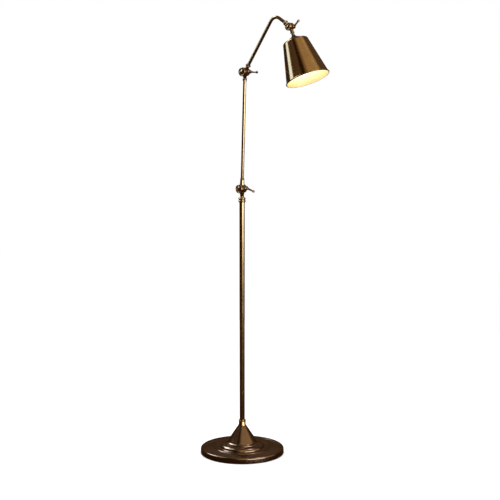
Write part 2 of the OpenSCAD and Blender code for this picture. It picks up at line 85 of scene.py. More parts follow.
# %% [markdown]
# ## The camera
# A long lens from about five metres keeps the pole straight and the base flat, as in a catalogue
# picture. The camera looks slightly down, from the side that the arms reach towards.

# %% Camera
CAMERA_AT = (3.2539, -3.59608, 1.43821)
CAMERA_AZIMUTH = 41.7973
CAMERA_DOWN = 7.909
camera_data = bpy.data.cameras.new("camera")
camera_data.sensor_width = 36
camera_data.lens = 96.196
camera_data.clip_end = 60
camera = bpy.data.objects.new("camera", camera_data)
camera.location = CAMERA_AT
camera.rotation_euler = (math.radians(90 - CAMERA_DOWN), 0, math.radians(CAMERA_AZIMUTH))
scene.collection.objects.link(camera)
scene.camera = camera

# %% [markdown]
# ## Node helpers
# A finish is a small graph of nodes. One class wraps a socket so that sums on it read as Python,
# and one method makes any other node from its type, its settings and its inputs. Numbers that are
# the same all over a surface are set on the shader's own sockets.

# %% Finishes as Python
class Value:
    """A socket that can be added to, subtracted from and multiplied."""

    def __init__(self, finish, socket):
        self.finish, self.socket = finish, socket

    def sum(self, operation, a, b):
        made = self.finish.node("Math", {"operation": operation}, {0: a, 1: b})
        return Value(self.finish, made.outputs[0])

    def __add__(self, other):
        return self.sum("ADD", self, other)

    def __sub__(self, other):
        return self.sum("SUBTRACT", self, other)

    def __rsub__(self, other):
        return self.sum("SUBTRACT", other, self)

    def __mul__(self, other):
        return self.sum("MULTIPLY", self, other)

    def within(self):
        made = self.finish.node("Clamp", {}, {0: self})
        return Value(self.finish, made.outputs[0])

    __radd__ = __add__


class Finish:
    """A material around one Principled shader."""

    def __init__(self, name, **sockets):
        self.material = bpy.data.materials.new(name)
        self.material.use_nodes = True
        self.tree = self.material.node_tree
        self.tree.nodes.clear()
        self.shader = self.node("BsdfPrincipled", {}, {})
        self.node("OutputMaterial", {}, {0: self.shader.outputs[0]})
        self.set(**sockets)

    def node(self, kind, settings, inputs):
        made = self.tree.nodes.new("ShaderNode" + kind)
        for key, value in settings.items():
            if key == "stops":
                while len(made.color_ramp.elements) < len(value):
                    made.color_ramp.elements.new(0.5)
                for element, (place, colour) in zip(made.color_ramp.elements, value):
                    element.position, element.color = place, (*colour, 1)
            else:
                setattr(made, key, value)
        for key, value in inputs.items():
            self.feed(made.inputs[key], value)
        return made

    def feed(self, socket, value):
        if isinstance(value, Value):
            value = value.socket
        if isinstance(value, bpy.types.NodeSocket):
            self.tree.links.new(value, socket)
        elif socket.type == "RGBA" and len(value) == 3:
            socket.default_value = (*value, 1)
        else:
            socket.default_value = value

    def set(self, **sockets):
        for key, value in sockets.items():
            self.feed(self.shader.inputs[key.replace("_", " ").title()], value)
        return self

    def place(self, frame_matrix=None):
        """Object coordinates, or the same in one of the lamp's frames."""
        coords = self.node("TexCoord", {}, {}).outputs["Object"]
        if frame_matrix is None:
            return coords
        back = frame_matrix.inverted()
        made = self.node("Mapping", {}, {"Vector": coords})
        made.inputs["Location"].default_value = back.to_translation()
        made.inputs["Rotation"].default_value = back.to_euler()
        return made.outputs[0]

    def noise(self, coords, scale, stretch=(1, 1, 1), detail=3, rough=0.55):
        if stretch != (1, 1, 1):
            coords = self.node("Mapping", {}, {"Vector": coords, "Scale": stretch}).outputs[0]
        inputs = {"Vector": coords, "Scale": scale, "Detail": detail, "Roughness": rough}
        return Value(self, self.node("TexNoise", {}, inputs).outputs["Fac"])

    def mix(self, factor, a, b):
        made = self.node("Mix", {"data_type": "RGBA"}, {0: factor, 6: a, 7: b})
        return made.outputs[2]

    def bump(self, height, distance):
        made = self.node("Bump", {}, {"Height": height, "Distance": distance, "Strength": 1.0})
        self.feed(self.shader.inputs["Normal"], made.outputs[0])


# %% [markdown]
# ## Antique brass
# Real antique brass is plated and then blackened with acid, and rubbed back by hand. It stays a
# metal everywhere, so the brown is a tint of its reflections: dark in most places, and golden where
# the rubbing broke through. Broad noise makes the patches, a stretched noise makes the hairlines
# that rubbing leaves along each tube, and a very fine one roughens the surface.

# %% Antique brass
PATCHES, GRIME = 9, 75
COAT = {"coat_weight": 0.8, "coat_roughness": 0.1}
SCRATCH_DEPTH = 0.00002


def antique_brass(name, dark, gold, rough=0.15, along=None, stretch=(1, 1, 0.02), lines=700):
    """Brass from dark to gold. lines is how fine its scratches are, and stretch their way."""
    finish = Finish(name, metallic=1.0, **COAT)
    coords = finish.place(along)
    patch = finish.noise(coords, PATCHES, detail=5, rough=0.62)
    grime = finish.noise(coords, GRIME, detail=4, rough=0.6)
    line = finish.noise(coords, lines, stretch=stretch, detail=2)
    worn = ((patch - 0.5) * 1.6 + (line - 0.5) * 0.9 + 0.5).within()
    colour = finish.mix(worn, dark, gold)
    soot = ((grime - 0.58) * 4.5).within()
    colour = finish.mix(soot * 0.5, colour, tuple(0.45 * v for v in dark))
    sheen = rough + (line - 0.5) * 0.08 + soot * 0.1 + (patch - 0.5) * 0.06
    finish.set(base_color=colour, roughness=sheen)
    finish.bump(line * 0.7 + grime * 0.3, SCRATCH_DEPTH)
    return finish.material


tube_brass = antique_brass("tube_brass", (0.3, 0.165, 0.055), (0.54, 0.35, 0.13), rough=0.12)
arm_brass = antique_brass("arm_brass", (0.3, 0.17, 0.065), (0.52, 0.35, 0.15), along=in_upper_arm)
cast_brass = antique_brass("cast_brass", (0.25, 0.14, 0.055), (0.55, 0.35, 0.15),
                           stretch=(1, 1, 1), lines=260)
base_brass = antique_brass("base_brass", (0.16, 0.09, 0.05), (0.26, 0.155, 0.085), rough=0.17,
                           stretch=(1, 1, 1), lines=320)
shade_brass = antique_brass("shade_brass", (0.28, 0.155, 0.055), (0.42, 0.25, 0.095),
                            along=in_head, stretch=(0.02, 0.02, 1), lines=900)
cap_bronze = antique_brass("cap_bronze", (0.03, 0.02, 0.014), (0.09, 0.06, 0.04), rough=0.3,
                           along=in_head, stretch=(0.05, 0.05, 1), lines=700)
bolt_brass = antique_brass("bolt_brass", (0.45, 0.3, 0.16), (0.68, 0.5, 0.3), rough=0.12,
                           stretch=(1, 0.03, 1), lines=500)

# %% [markdown]
# ## The other finishes
# The shade is enamelled pale inside, the lamp is a lit frosted globe, and the parts that only show
# when the lamp is taken apart or turned over are plain steel, iron, rubber, fibre, felt and
# porcelain. Each still has the grain of its real material.

# %% Plain finishes
def grained(name, colour, other, scale, rough, relief, metallic=0.0, detail=4, **sockets):
    finish = Finish(name, metallic=metallic, **sockets)
    coords = finish.place()
    grain = finish.noise(coords, scale, detail=detail, rough=0.65)
    cloud = finish.noise(coords, scale * 0.07, detail=2)
    finish.set(base_color=finish.mix(((grain - 0.5) * 2 + cloud).within(), colour, other))
    finish.set(roughness=(rough + (grain - 0.5) * 0.3).within())
    finish.bump(grain, relief)
    return finish.material


felt = grained("felt", (0.035, 0.05, 0.04), (0.09, 0.11, 0.09), 900, 0.95, 0.0006, detail=8)
iron = grained("iron", (0.07, 0.07, 0.075), (0.16, 0.155, 0.15), 180, 0.6, 0.0004, metallic=0.8)
zinc = grained("zinc", (0.45, 0.45, 0.44), (0.66, 0.66, 0.64), 260, 0.34, 0.00005, metallic=1.0)
rubber = grained("rubber", (0.012, 0.012, 0.012), (0.03, 0.03, 0.03), 400, 0.62, 0.0001)
fibre = grained("fibre", (0.03, 0.022, 0.018), (0.09, 0.07, 0.055), 700, 0.8, 0.0002)
nylon = grained("nylon", (0.72, 0.7, 0.64), (0.8, 0.79, 0.74), 120, 0.45, 0.00005)
porcelain = grained("porcelain", (0.8, 0.78, 0.72), (0.88, 0.86, 0.8), 60, 0.16, 0.00003,
                    coat_weight=0.6)


def lit_glass():
    finish = Finish("lit_glass", roughness=0.35, emission_strength=1.8)
    frost = finish.noise(finish.place(), 400, detail=3)
    finish.set(base_color=finish.mix(frost, (0.95, 0.88, 0.74), (1.0, 0.95, 0.85)))
    finish.set(emission_color=finish.mix(frost, (1.0, 0.66, 0.26), (1.0, 0.74, 0.36)))
    return finish.material


lamp_glow = lit_glass()


# Where the painted glow of the lamp's light on the enamel fades out near the rim, and how fast it
# rises inward.
PAINTED_GLOW_ENDS, PAINTED_GLOW_RISE = 0.2, 30


def enamel_with_painted_glow():
    """Warm pale enamel, with the lamp's light painted on it as a glow that is strongest deep in the
    shade, close to the lamp.
    """
    finish = Finish("enamel", roughness=0.38, emission_strength=0.85)
    coords = finish.place(in_head)
    cloud = finish.noise(coords, 30, detail=3)
    finish.set(base_color=finish.mix(cloud, (0.85, 0.63, 0.3), (0.87, 0.66, 0.33)))
    # The emission is painted light: the lamp's light on the enamel, bright deep in the shade and
    # fading to dark at the rim.
    height = Value(finish, finish.node("SeparateXYZ", {}, {0: coords}).outputs[2])
    painted_glow_depth = ((PAINTED_GLOW_ENDS - height) * PAINTED_GLOW_RISE).within()
    finish.set(emission_color=finish.mix(painted_glow_depth * painted_glow_depth, (0.03, 0.015, 0.0), (1.0, 0.88, 0.62)))
    return finish.material


enamel = enamel_with_painted_glow()

# %% [markdown]
# ## Turned parts, by one tree of nodes
# Nearly everything on this lamp was turned on a lathe or spun over a form, so one rule makes it: an
# outline swept once around an axis. The tree sweeps the outline along a circle of one metre and
# takes that metre off every radius, so no point of the outline is squeezed at the axis. Merging the
# points that meet there closes the poles.

# %% Tree helpers
def new_tree(name, inputs):
    tree = bpy.data.node_groups.new(name, "GeometryNodeTree")
    tree.interface.new_socket("Geometry", in_out="INPUT", socket_type="NodeSocketGeometry")
    tree.interface.new_socket("Geometry", in_out="OUTPUT", socket_type="NodeSocketGeometry")
    for label, kind, value in inputs:
        made = tree.interface.new_socket(label, in_out="INPUT", socket_type="NodeSocket" + kind)
        if value is not None:
            made.default_value = value
    return tree, tree.nodes.new("NodeGroupInput"), tree.nodes.new("NodeGroupOutput")


def step(tree, kind, settings=None, **inputs):
    """Adds a geometry node. An input is a value or another node's output."""
    made = tree.nodes.new(kind)
    for key, value in (settings or {}).items():
        setattr(made, key, value)
    for key, value in inputs.items():
        socket = made.inputs[key.replace("_", " ")]
        if isinstance(value, bpy.types.NodeSocket):
            tree.links.new(value, socket)
        else:
            socket.default_value = value
    return made.outputs[0]


def close_tree(tree, given, result, shape):
    """Every tree ends smooth, realized and painted."""
    shape = step(tree, "GeometryNodeSetShadeSmooth", Geometry=shape)
    shape = step(tree, "GeometryNodeRealizeInstances", Geometry=shape)
    paint = given.outputs["Material"]
    shape = step(tree, "GeometryNodeSetMaterial", Geometry=shape, Material=paint)
    tree.links.new(shape, result.inputs[0])


# %% The lathe
LATHE_STEPS = 96
MERGE_WITHIN = 0.000002
lathe, given, result = new_tree("lathe", [("Steps", "Int", LATHE_STEPS),
                                          ("Material", "Material", None)])
outline_curve = step(lathe, "GeometryNodeMeshToCurve", Mesh=given.outputs["Geometry"])
circle = step(lathe, "GeometryNodeCurvePrimitiveCircle", Radius=1.0,
              Resolution=given.outputs["Steps"])
circle = step(lathe, "GeometryNodeSetCurveNormal", {"mode": "Z_UP"}, Curve=circle)
swept = step(lathe, "GeometryNodeCurveToMesh", Curve=circle, Profile_Curve=outline_curve)
swept = step(lathe, "GeometryNodeMergeByDistance", Geometry=swept, Distance=MERGE_WITHIN)
close_tree(lathe, given, result, swept)

# %% [markdown]
# A modifier holds the tree only while it works. The result is copied out as a plain mesh, its faces
# are turned outwards by the sign of its volume, and it is moved to its place in the lamp.

# %% Running a tree
def run_tree(name, points, edges, tree, place, **values):
    mesh = bpy.data.meshes.new(name)
    mesh.from_pydata(points, edges, [])
    piece = bpy.data.objects.new(name, mesh)
    scene.collection.objects.link(piece)
    modifier = piece.modifiers.new("rule", "NODES")
    modifier.node_group = tree
    for item in tree.interface.items_tree:
        if item.in_out == "INPUT" and item.name in values:
            modifier[item.identifier] = values[item.name]
    piece.data = plain_mesh(piece)
    piece.modifiers.clear()
    piece.data.transform(place)
    face_outwards(piece.data)
    return piece


def plain_mesh(piece):
    piece.update_tag()
    bpy.context.view_layer.update()
    evaluated = piece.evaluated_get(bpy.context.evaluated_depsgraph_get())
    return bpy.data.meshes.new_from_object(evaluated)


def face_outwards(mesh):
    work = bmesh.new()
    work.from_mesh(mesh)
    if work.calc_volume(signed=True) < 0:
        bmesh.ops.reverse_faces(work, faces=work.faces)
    work.to_mesh(mesh)
    work.free()


def turned(name, outline, place, finish, closed=True, steps=LATHE_STEPS):
    """Turns an outline of (radius, height) points in millimetres about the Z axis of place."""
    points = [(r * MM - 1, -h * MM, 0) for r, h in outline]
    edges = [(i, i + 1) for i in range(len(points) - 1)]
    if closed:
        edges.append((len(points) - 1, 0))
    return run_tree(name, points, edges, lathe, place, Steps=steps, Material=finish)


def arc(centre, r, a, b, n=10):
    """Points on an arc, in degrees, from a to b."""
    return [(centre[0] + r * math.cos(math.radians(a + (b - a) * i / n)),
             centre[1] + r * math.sin(math.radians(a + (b - a) * i / n))) for i in range(n + 1)]


def rounded(points, r, n=4):
    """An outline with every corner but the ends rounded off by r."""
    made = [points[0]]
    for before, here, after in zip(points, points[1:], points[2:]):
        p, q, s = Vector(before), Vector(here), Vector(after)
        u, v = (p - q).normalized(), (s - q).normalized()
        cut = min(r, (p - q).length * 0.45, (s - q).length * 0.45)
        for i in range(n + 1):
            t = i / n
            made.append(tuple(q + u * cut * (1 - t) ** 2 + v * cut * t ** 2))
    return made + [points[-1]]


pieces = {}


def keep(piece, body, slot, *nodes, sharp=32):
    """A finished piece: it rides on a body and stands for its nodes of the model."""
    piece.data.set_sharp_from_angle(angle=math.radians(sharp))
    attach(piece, body)
    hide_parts(*nodes)
    pieces[piece.name] = piece
    print(f"{piece.name}: {len(piece.data.polygons)} faces")
    return piece


# %% [markdown]
# ## The base
# The cover is one spun sheet: a rounded edge, a shallow channel, a raised ring, a dome, and a
# cone that runs up to the pole's socket. Its outline is followed on the outside and back on the
# inside, which gives the sheet its real thickness. A hole at the back takes the cord's grommet.

# %% Base cover
BASE_R, EDGE_H, EDGE_ROUND, COVER_T, FELT_T = 154.985, 23, 6, 1.6, 2
RING_R, DOME_R, DOME_ACROSS, DOME_HIGH = 101, 84, 25, 15.7
POLE_R, RUN_GAP, SOCKET_T = 9.7, 0.05, 3.15
SOCKET_R = POLE_R + RUN_GAP + SOCKET_T
CONE_FOOT, CONE_TOP, FOOT_ROUND = Vector((57, 42)), Vector((SOCKET_R + 1.6, 106)), 14
COVER_HOLE_R = 6


def cover_outline():
    run = (CONE_FOOT - CONE_TOP).normalized()
    foot = CONE_FOOT - 5 * run
    centre = foot + FOOT_ROUND * Vector((-run.y, run.x))
    leave = 180 + math.degrees(math.atan(run.x / -run.y))
    return ([(BASE_R, FELT_T)]
            + arc((BASE_R - EDGE_ROUND, EDGE_H - EDGE_ROUND), EDGE_ROUND, 0, 115, 16)
            + arc((BASE_R - 15, EDGE_H - 1), 3, -55, -105, 6)
            + arc((RING_R + 1, EDGE_H - 1.5), 4.5, 20, 125, 16)
            + [((RING_R + DOME_R) / 2, EDGE_H)]
            + [(DOME_R - DOME_ACROSS + DOME_ACROSS * math.cos(a),
                EDGE_H + 0.5 + DOME_HIGH * math.sin(a))
               for a in (math.radians(6 + 4 * i) for i in range(19))]
            + arc(centre, FOOT_ROUND, 262, leave, 14) + [tuple(CONE_TOP)])


outer = cover_outline()
inner = [(r - COVER_T, max(h - COVER_T, FELT_T)) for r, h in outer]
brim = [(COVER_HOLE_R, CONE_TOP.y), (COVER_HOLE_R, CONE_TOP.y - COVER_T)]
cover = turned("base_cover_skin", outer + brim + inner[::-1], at_floor, base_brass, steps=160)


def cut(piece, tool, operation="DIFFERENCE"):
    """Cuts or joins one closed mesh with another, and keeps the plain result."""
    modifier = piece.modifiers.new("cut", "BOOLEAN")
    modifier.operation, modifier.object, modifier.solver = operation, tool, "EXACT"
    piece.data = plain_mesh(piece)
    piece.modifiers.clear()
    bpy.data.objects.remove(tool)
    return piece


CORD_Z, CORD_R = 8.75, 3.5
towards_back = Matrix.Translation((0, 0, CORD_Z * MM)) @ turn(90)
hole_r, hole_ends = CORD_R + 1.1, (-160, -149.5)
hole = turned("hole", [(0, hole_ends[0]), (hole_r, hole_ends[0]), (hole_r, hole_ends[1]),
                       (0, hole_ends[1])], towards_back, base_brass, closed=False, steps=48)
keep(cut(cover, hole), "stand", "base_bronze", "base_cover")
grommet_outline = rounded([(CORD_R, -157.1), (5.0, -157.1), (5.8, -155.1), (4.5, -155.1),
                           (4.5, -153.2), (5.8, -153.2), (5.8, -151.7), (CORD_R, -151.7),
                           (CORD_R, -157.1)], 0.4)
keep(turned("cord_bush", grommet_outline[:-1], towards_back, rubber, steps=48),
     "stand", "black_rubber", "cord_grommet")

# %% [markdown]
# ## The pole
# A socket with a bead takes the foot of the pole, and a collar with two beads joins its top to the
# first knuckle. Each is turned around the pole with a bore that it fits.

# %% Socket, pole and collar
SOCKET_TOP = CONE_TOP.y + 20
POLE_BORE_R, WIRE_WAY_R = POLE_R + RUN_GAP, 5.05
socket_outline = ([(POLE_BORE_R, 114), (WIRE_WAY_R, 114), (WIRE_WAY_R, CONE_TOP.y),
                   (SOCKET_R + 1.2, CONE_TOP.y), (SOCKET_R + 1.1, 106.8), (SOCKET_R, 109),
                   (SOCKET_R, SOCKET_TOP - 4.4)]
                  + arc((SOCKET_R - 0.5, SOCKET_TOP - 2), 1.8, -75, 75, 10)
                  + [(POLE_BORE_R, SOCKET_TOP)])
keep(turned("pole_socket_turned", socket_outline, at_floor, cast_brass),
     "stand", "antique_brass", "pole_socket")

COLLAR_R, COLLAR_BEAD = POLE_R + 3.8, 4
COLLAR_FOOT, COLLAR_FLOOR, COLLAR_TOP = -52, -40, -32
collar_outline = ([(POLE_BORE_R, COLLAR_FOOT), (POLE_R + 1, COLLAR_FOOT), (COLLAR_R - 3, -50)]
                  + arc((COLLAR_R - COLLAR_BEAD, -45.5), COLLAR_BEAD, -68, 66, 12)
                  + arc((COLLAR_R - COLLAR_BEAD, -36.5), COLLAR_BEAD, -66, 68, 12)
                  + [(COLLAR_R - 3, COLLAR_TOP), (WIRE_WAY_R, COLLAR_TOP),
                     (WIRE_WAY_R, COLLAR_FLOOR), (POLE_BORE_R, COLLAR_FLOOR)])
keep(turned("pole_collar_turned", collar_outline, at_mid, cast_brass),
     "stand", "antique_brass", "pole_collar")

# %% [markdown]
# ## Tubes, by a second tree
# A bent tube is a round section carried along a path. The path is given by its corners only, and
# the tree rounds each corner to the radius of the bending die, so the same tree makes the straight
# pole, the middle arm and the upper arm with its one bend.

# %% The bending tree
bender, given, result = new_tree("bender", [("Tube radius", "Float", 0.006),
                                            ("Bend radius", "Float", 0.03),
                                            ("Material", "Material", None)])
path = step(bender, "GeometryNodeMeshToCurve", Mesh=given.outputs["Geometry"])
path = step(bender, "GeometryNodeFilletCurve", {"mode": "POLY"}, Curve=path, Count=40,
            Radius=given.outputs["Bend radius"])
path = step(bender, "GeometryNodeSetCurveNormal", {"mode": "MINIMUM_TWIST"}, Curve=path)
section = step(bender, "GeometryNodeCurvePrimitiveCircle", Resolution=64,
               Radius=given.outputs["Tube radius"])
tube = step(bender, "GeometryNodeCurveToMesh", Curve=path, Profile_Curve=section, Fill_Caps=True)
close_tree(bender, given, result, tube)


BEND_R = 30


def bent(name, corners, r, finish):
    edges = [(i, i + 1) for i in range(len(corners) - 1)]
    return run_tree(name, corners, edges, bender, Matrix(), **{
        "Tube radius": r * MM, "Bend radius": BEND_R * MM, "Material": finish})


def along(place, height):
    return place @ Vector((0, 0, height * MM))


TUBE_R, SEAT_GAP = 5.8, 0.1
MIDDLE_LEN, RISE_LEN = 422, 243
ARM_STEM, HEAD_STEM = 26, 24
POLE_FOOT, MIDDLE_FOOT = -875.9, 20.1
pole_path = [along(at_mid, POLE_FOOT), along(at_mid, COLLAR_FLOOR - SEAT_GAP)]
middle_path = [along(in_middle_arm, MIDDLE_FOOT),
               along(in_middle_arm, MIDDLE_LEN - ARM_STEM - SEAT_GAP)]
upper_path = [along(in_upper_arm, ARM_STEM + SEAT_GAP), along(in_upper_arm, RISE_LEN),
              along(at_head, -HEAD_STEM - SEAT_GAP)]
for name, path, r, finish, body, node in (
        ("pole_tube", pole_path, POLE_R, tube_brass, "stand", "lower_pole"),
        ("middle_arm_tube", middle_path, TUBE_R, tube_brass, "middle_arm", "middle_tube"),
        ("upper_arm_tube", upper_path, TUBE_R, arm_brass, "upper_arm", "upper_tube")):
    keep(bent(name, path, r, finish), body, "antique_brass", node)

# %% [markdown]
# ## The knuckles
# A knuckle is two half drums on one bolt, with a fibre disc between them. The half on the bolt's
# side has a raised ring that the domed bolt head sits in, and the other half ends in a cone below
# the clamping lever. Each half was cast with its stem, so the two turned shapes are joined into
# one skin, after the stem is cut back to leave room for the other half.

# %% Knuckle halves
to_y = Matrix.Rotation(math.radians(-90), 4, "X")
BEZEL_R, BOLT_R, GAP = 3.0, 3.05, 0.4
SPLIT_FRONT, SPLIT_BACK = -0.5, 0.6
FAR = 40


def drum(name, outline, place, finish=None, steps=96):
    """A piece turned about the hinge line. Heights in its outline run along +Y."""
    return turned(name, outline, place @ to_y, finish or cast_brass, closed=False, steps=steps)


def half(name, outline, stem, place, r, room):
    """Joins a half drum to its stem. room is the span on the bolt that the other half needs."""
    body = drum(name, outline, place)
    arm = turned("stem", stem, place, cast_brass, closed=False)
    low, high = room
    clear = drum("clear", [(0, low), (r + GAP, low), (r + GAP, high), (0, high)], place)
    return cut(body, cut(arm, clear), "UNION")


def bolt_side(name, r, front, stem, place):
    ring = r + 0.7 - BEZEL_R
    floor = -front + 2.2
    well = ring - BEZEL_R + 0.2
    side = [(r, -front + 0.1), (r, SPLIT_FRONT), (r - 4, SPLIT_FRONT)]
    outline = ([(0, floor), (well, floor), (well, -front)]
               + arc((ring, -front), BEZEL_R, 178, 360, 20)
               + rounded(side, 0.4)[1:] + [(0, SPLIT_FRONT)])
    return half(name, outline, stem, place, r, (SPLIT_FRONT, FAR))


def lever_side(name, r, back, stem, place):
    side = [(r - 4, SPLIT_BACK), (r, SPLIT_BACK), (r, back * 0.56), (7.6, back), (0, back)]
    outline = [(0, SPLIT_BACK)] + rounded(side, 0.8) + [(0, back)]
    return half(name, outline, stem, place, r, (-FAR, SPLIT_BACK))


def bead_on(r, height, width):
    """A half-round bead: outer radius r, standing proud of a stem."""
    return arc((r - width / 2, height), width / 2, -80, 80, 12)


ARM_DRUM, ARM_FRONT, ARM_BACK = 15.3, 16.5, 19.5
HEAD_DRUM, HEAD_FRONT, HEAD_BACK = 13.2, 12, 12.5
SLEEVE_R = TUBE_R + 1.7

mid_stem = [(0, -32), (7.9, -32), (7.4, -29.6), (6.9, -29), (7.1, -24), (9.0, -10.3), (0, -10.3)]
keep(bolt_side("mid_knuckle_low_half", ARM_DRUM, ARM_FRONT, mid_stem, at_mid),
     "stand", "antique_brass", "mid_knuckle_lower")
socket_stem = ([(0, 10.3), (SLEEVE_R + 1.2, 10.3), (SLEEVE_R + 0.3, 24), (SLEEVE_R, 32),
                (SLEEVE_R - 0.5, 33.2)] + bead_on(SLEEVE_R + 0.6, 35, 3)
               + [(SLEEVE_R - 0.6, 37), (SLEEVE_R - 0.6, 38), (0, 38)])
keep(lever_side("mid_knuckle_high_half", ARM_DRUM, ARM_BACK, socket_stem, in_middle_arm),
     "middle_arm", "antique_brass", "mid_knuckle_upper")
elbow_stem = [(0, -26), (TUBE_R, -26), (TUBE_R, -22.9), (TUBE_R + 0.3, -22.9),
              (SLEEVE_R + 0.2, -12.3), (SLEEVE_R + 0.2, -10.3), (0, -10.3)]
keep(bolt_side("elbow_low_half", ARM_DRUM, ARM_FRONT, elbow_stem, at_elbow),
     "middle_arm", "antique_brass", "elbow_knuckle_lower")
rise_stem = [(0, 10.3), (SLEEVE_R + 0.4, 10.3), (SLEEVE_R + 0.4, 12.3), (TUBE_R + 0.3, 19.6),
             (TUBE_R, 20.8), (TUBE_R, 26), (0, 26)]
keep(lever_side("elbow_high_half", ARM_DRUM, ARM_BACK, rise_stem, in_upper_arm),
     "upper_arm", "antique_brass", "elbow_knuckle_upper")
drop_stem = [(0, -24), (TUBE_R, -24), (TUBE_R, -8.2), (0, -8.2)]
keep(bolt_side("head_low_half", HEAD_DRUM, HEAD_FRONT, drop_stem, at_head),
     "upper_arm", "antique_brass", "head_knuckle_arm")
neck_stem = ([(0, 8.2), (6.4, 8.2), (6.1, 19.6)] + bead_on(7.8, 22.5, 5)
             + [(5.9, 25.4), (5.6, 33.5), (0, 33.5)])
keep(lever_side("head_neck_half", HEAD_DRUM, HEAD_BACK, neck_stem, in_head),
     "head", "antique_brass", "head_knuckle_neck")

# %% [markdown]
# Rings cover the joints where a stem meets a tube: a ferrule below the elbow and two round collars
# on the upper arm.

# %% Ferrule and collars
RING_BORE_R = TUBE_R + RUN_GAP
ferrule = ([(RING_BORE_R, -33), (SLEEVE_R - 0.5, -33), (SLEEVE_R, -32.4), (SLEEVE_R, -27.6)]
           + bead_on(SLEEVE_R + 0.8, -25.4, 3.4) + [(SLEEVE_R, -23), (RING_BORE_R, -23)])
keep(turned("elbow_ferrule_ring", ferrule, at_elbow, cast_brass),
     "middle_arm", "antique_brass", "elbow_ferrule")


def bead_collar(name, place, middle, node):
    low, high = middle - 4.5, middle + 4.5
    outline = ([(RING_BORE_R, low), (SLEEVE_R - 0.4, low), (SLEEVE_R, middle - 4)]
               + bead_on(SLEEVE_R + 2.2, middle, 5)
               + [(SLEEVE_R, middle + 4), (SLEEVE_R - 0.4, high), (RING_BORE_R, high)])
    keep(turned(name, outline, place, cast_brass), "upper_arm", "antique_brass", node)


bead_collar("elbow_collar_ring", in_upper_arm, ARM_STEM + 1, "elbow_collar")
bead_collar("head_collar_ring", at_head, -HEAD_STEM - 1, "head_collar")

# %% [markdown]
# ## Bolts and clamping levers
# The bolt heads are polished domes, the brightest metal on the lamp. Each lever is a hub, a tapered
# arm, a ball and a small point, turned as one outline along the arm and joined to the hub.

# %% Bolts
BOLT_DOME, BOLT_HEAD_LEN, HUB_LEN = 2.6, 2.4, 7


def dome_bolt(name, r, front, back, place, body, node):
    head_r = r + 0.7 - 2 * BEZEL_R - 0.8
    seat = -front + 2.1
    rise, edge = BOLT_DOME, seat - BOLT_HEAD_LEN
    ball = (head_r ** 2 + rise ** 2) / (2 * rise)
    lean = math.degrees(math.asin(head_r / ball))
    outline = arc((0, edge - rise + ball), ball, -90, -90 + lean, 14)
    outline += [(head_r, seat), (3, seat), (3, back + HUB_LEN), (0, back + HUB_LEN)]
    keep(drum(name, outline, place, bolt_brass), body, "bolt_brass", node)


dome_bolt("mid_bolt_dome", ARM_DRUM, ARM_FRONT, ARM_BACK, at_mid, "stand", "mid_bolt")
dome_bolt("elbow_bolt_dome", ARM_DRUM, ARM_FRONT, ARM_BACK, at_elbow, "middle_arm", "elbow_bolt")
dome_bolt("head_bolt_dome", HEAD_DRUM, HEAD_FRONT, HEAD_BACK, at_head, "upper_arm", "head_bolt")


# %% Levers
BALL_R = 4.8


def clamp_lever(name, back, length, upward, place, body):
    """A lever whose arm points upward by an angle in degrees, above the lamp's X axis."""
    root = back + 1.8
    crown = root + HUB_LEN + 2.4
    side = [(BOLT_R, root), (6.4, root), (7, root + HUB_LEN), (4, crown), (0, crown)]
    hub = [(0, root)] + rounded(side, 0.9) + [(0, crown)]
    tip, point = length + 6.6, [(2.2, length + 4.35), (1.9, length + 5.6)]
    arm = ([(0, 3.6), (3.9, 3.6), (3.5, length * 0.4), (3.15, length * 0.72),
            (3.2, length - BALL_R * 0.75)]
           + arc((0, length), BALL_R, -48, 62, 20)
           + rounded(point + [(1.3, tip), (0, tip)], 0.5)[1:])
    on_hub = place @ Matrix.Translation((0, (root + 4) * MM, 0)) @ turn(90 - upward)
    lever = turned("arm", arm, on_hub, cast_brass, closed=False, steps=64)
    piece = cut(drum(name, hub, place), lever, "UNION")
    foot, floor = root - 2, back + HUB_LEN + 0.6
    bore = drum("bore", [(0, foot), (BOLT_R, foot), (BOLT_R, floor), (0, floor)], place, steps=48)
    keep(cut(piece, bore), body, "antique_brass", body)


clamp_lever("mid_lever_cast", ARM_BACK, 34, -16, at_mid, "mid_lever")
clamp_lever("elbow_lever_cast", ARM_BACK, 34, -2, hinge["elbow_knuckle"], "elbow_lever")
clamp_lever("head_lever_cast", HEAD_BACK, 28, 44, hinge["head_knuckle"], "head_lever")

# %% [markdown]
# ## The head
# The cap is a shallow blackened bell, and the shade is a spun cone with a rounded shoulder and a
# bead rolled around its rim. The shade's skin is one closed sheet, brass outside and pale enamel
# inside, so its faces are painted by which way they look: an inner face looks at the axis.

# %% Cap and shade
SHADE_TOP, SHADE_LEN, SHADE_T, RIM_R = 48, 149, 1.1, 76
SHOULDER_R, SHOULDER_ROUND, CROWN_FALL = 45.5, 8, 4.5
RIM_BEAD, SHADE_HOLE_R = 2.2, 6
CAP_R = 22
cap_crown, cap_top, cap_low = 6.5, 33.6, 47.9
cap_fall = cap_low - 2.5 - cap_top
bell = [(cap_crown + (CAP_R - cap_crown) * (t / 24) ** 1.4, cap_top + cap_fall * (t / 24) ** 0.8)
        for t in range(25)]
CAP_BORE_R, CAP_FLOOR = 4.1, 40.6
cap_outline = ([(CAP_BORE_R, cap_top)] + bell
               + [(CAP_R, cap_low), (CAP_R - 2, cap_low), (6, CAP_FLOOR), (CAP_BORE_R, CAP_FLOOR)])
keep(turned("shade_bell_cap", cap_outline, in_head, cap_bronze), "head", "cap_bronze", "shade_cap")


